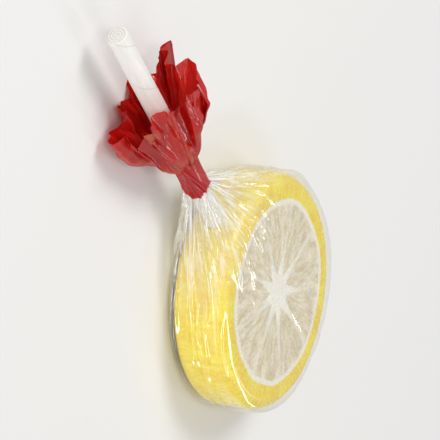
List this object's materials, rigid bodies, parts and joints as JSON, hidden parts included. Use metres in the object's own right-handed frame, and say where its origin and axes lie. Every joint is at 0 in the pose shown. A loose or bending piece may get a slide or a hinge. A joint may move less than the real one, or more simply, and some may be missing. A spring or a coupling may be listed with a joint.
{
  "type": "wrapped lollipop",
  "caption": "Flat round boiled sweet like a lemon slice on a white stick, in clear film gathered at the neck into a red crumpled skirt, lying face up",
  "frame": {"origin": "on the surface it lies on, under the middle of its whole length and width", "axes": "+X along the stick, from the sweet to the stick's free end; +Z out of the sweet's face, up; +Y across"},
  "size_m": [0.0756, 0.0352, 0.0115],
  "materials": {
    "stick_white": "plain white rolled stick, satin",
    "sweet_yellow": "lemon yellow boiled sugar, slightly translucent and glossy",
    "sweet_white": "white pulled sugar, glossy",
    "sweet_flesh": "pale translucent boiled sugar with fine bubbles",
    "wrapper_film": "thin clear crackly film, printed translucent red from the neck to the hem"
  },
  "bodies": {
    "root": {"stick": "stick_white", "jacket": "sweet_yellow", "pith": "sweet_white", "segment_1": "sweet_flesh", "segment_2": "sweet_flesh", "segment_3": "sweet_flesh", "segment_4": "sweet_flesh", "segment_5": "sweet_flesh", "segment_6": "sweet_flesh", "segment_7": "sweet_flesh", "segment_8": "sweet_flesh", "segment_9": "sweet_flesh", "wrapper": "wrapper_film"}
  },
  "joints": []
}
